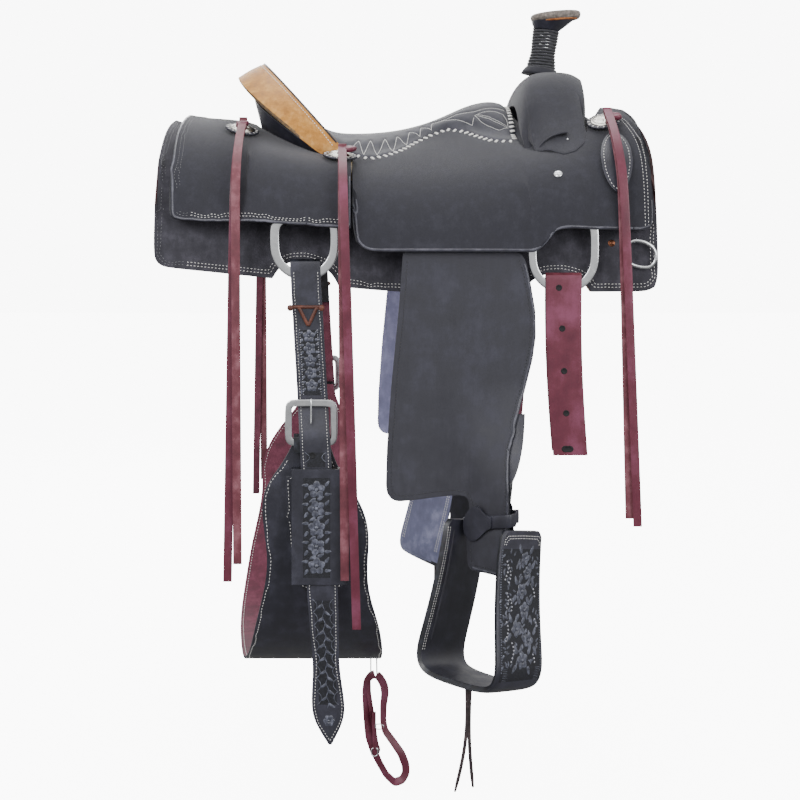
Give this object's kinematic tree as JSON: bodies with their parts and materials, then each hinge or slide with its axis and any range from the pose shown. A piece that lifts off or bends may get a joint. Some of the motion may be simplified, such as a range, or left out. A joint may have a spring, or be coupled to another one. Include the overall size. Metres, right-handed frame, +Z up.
{
  "type": "team roping saddle",
  "caption": "Western team roping saddle with rough-out leather, tan cantle roll, corded horn, flat rigging dees, shaped flank cinch and turned stirrups.",
  "frame": {"origin": "centre plane, at the ridge of the fleece under the seat, where the saddle lies on the horse's back", "axes": "+X towards the horse's head, +Y to the near (left) side, +Z up"},
  "size_m": [0.7023, 0.8296, 1.1597],
  "materials": {
    "rough_out_leather": "flesh side out, matt charcoal nap",
    "black_leather": "smooth or tooled, waxed",
    "burgundy_latigo": "oiled latigo leather",
    "tan_leather": "smooth skirting leather, lightly waxed",
    "tan_fleece": "shorn fleece pile",
    "rawhide_over_wood": "varnished rawhide over wood",
    "stainless_steel": "polished stainless steel",
    "engraved_silver": "bright cut plated dome on a black leather rosette"
  },
  "bodies": {
    "saddle": {"tree_bar_right": "rawhide_over_wood", "tree_bar_left": "rawhide_over_wood", "tree_fork": "rawhide_over_wood", "tree_cantle": "rawhide_over_wood", "horn_post": "stainless_steel", "horn_wrap": "black_leather", "horn_cap": "black_leather", "ground_seat_strainer": "stainless_steel", "seat_and_jockeys": "rough_out_leather", "padded_seat": "rough_out_leather", "cantle_roll": "tan_leather", "cantle_back": "black_leather", "fork_cover": "rough_out_leather", "rope_strap_tab": "rough_out_leather", "skirt_right": "rough_out_leather", "fleece_right": "tan_fleece", "rear_jockey_right": "black_leather", "rigging_right": "black_leather", "front_dee_right": "stainless_steel", "rear_dee_right": "stainless_steel", "rear_concho_right": "engraved_silver", "rear_string_right": "black_leather", "seat_concho_right": "engraved_silver", "seat_string_right": "black_leather", "front_concho_right": "engraved_silver", "front_string_right": "black_leather", "skirt_left": "rough_out_leather", "fleece_left": "tan_fleece", "rear_jockey_left": "black_leather", "rigging_left": "black_leather", "front_dee_left": "stainless_steel", "rear_dee_left": "stainless_steel", "rear_concho_left": "engraved_silver", "rear_string_left": "black_leather", "seat_concho_left": "engraved_silver", "seat_string_left": "black_leather", "front_concho_left": "engraved_silver", "front_string_left": "black_leather"},
    "fender_right": {"fender_right": "rough_out_leather", "stirrup_leather_right": "rough_out_leather", "hobble_strap_right": "black_leather"},
    "stirrup_right": {"stirrup_right": "black_leather"},
    "breast_dee_right": {"breast_dee_right": "stainless_steel"},
    "buckle_tongue_right": {"buckle_tongue_right": "stainless_steel"},
    "fender_left": {"fender_left": "rough_out_leather", "stirrup_leather_left": "rough_out_leather", "hobble_strap_left": "black_leather"},
    "stirrup_left": {"stirrup_left": "black_leather"},
    "breast_dee_left": {"breast_dee_left": "stainless_steel"},
    "buckle_tongue_left": {"buckle_tongue_left": "stainless_steel"},
    "off_billet": {"off_billet": "burgundy_latigo"},
    "latigo": {"latigo": "burgundy_latigo"},
    "flank_cinch": {"flank_cinch": "black_leather", "flank_billet_right": "black_leather", "flank_billet_left": "black_leather", "flank_buckle_right": "stainless_steel", "flank_buckle_left": "stainless_steel", "cinch_keeper_right": "black_leather", "cinch_keeper_left": "black_leather"},
    "connector_strap": {"connector_strap": "burgundy_latigo"}
  },
  "joints": [
    {"name": "fender_swing_right", "type": "hinge", "parent": "saddle", "child": "fender_right", "pos_m": [0.08, -0.245, -0.045], "axis": [0, 1, 0], "range_deg": [-18, 4]},
    {"name": "stirrup_pivot_right", "type": "hinge", "parent": "fender_right", "child": "stirrup_right", "pos_m": [0.116, -0.312, -0.51], "axis": [0.7071, -0.7071, 0], "range_deg": [-12, 12]},
    {"name": "breast_dee_turn_right", "type": "hinge", "parent": "saddle", "child": "breast_dee_right", "pos_m": [0.309, -0.269, -0.128], "axis": [0, 0, 1], "range_deg": [-60, 0]},
    {"name": "buckle_tongue_hinge_right", "type": "hinge", "parent": "flank_cinch", "child": "buckle_tongue_right", "pos_m": [-0.1293, -0.2838, -0.3312], "axis": [1, 0, 0], "range_deg": [-45, 0]},
    {"name": "fender_swing_left", "type": "hinge", "parent": "saddle", "child": "fender_left", "pos_m": [0.08, 0.245, -0.045], "axis": [0, 1, 0], "range_deg": [-18, 4]},
    {"name": "stirrup_pivot_left", "type": "hinge", "parent": "fender_left", "child": "stirrup_left", "pos_m": [0.116, 0.312, -0.51], "axis": [0.7071, 0.7071, 0], "range_deg": [-12, 12]},
    {"name": "breast_dee_turn_left", "type": "hinge", "parent": "saddle", "child": "breast_dee_left", "pos_m": [0.309, 0.269, -0.128], "axis": [0, 0, 1], "range_deg": [0, 60]},
    {"name": "buckle_tongue_hinge_left", "type": "hinge", "parent": "flank_cinch", "child": "buckle_tongue_left", "pos_m": [-0.1293, 0.2838, -0.3312], "axis": [1, 0, 0], "range_deg": [0, 45]},
    {"name": "off_billet_swing", "type": "hinge", "parent": "saddle", "child": "off_billet", "pos_m": [0.219, -0.2717, -0.134], "axis": [0, 1, 0], "range_deg": [-20, 20]},
    {"name": "latigo_swing", "type": "hinge", "parent": "saddle", "child": "latigo", "pos_m": [0.219, 0.2717, -0.134], "axis": [0, 1, 0], "range_deg": [-20, 20]},
    {"name": "flank_cinch_swing", "type": "hinge", "parent": "saddle", "child": "flank_cinch", "pos_m": [-0.1385, 0, -0.1168], "axis": [0, 1, 0], "range_deg": [-3, 8]},
    {"name": "connector_swing", "type": "hinge", "parent": "flank_cinch", "child": "connector_strap", "pos_m": [-0.0335, -0.15, -0.7305], "axis": [1, 0, 0], "range_deg": [-30, 30]}
  ]
}
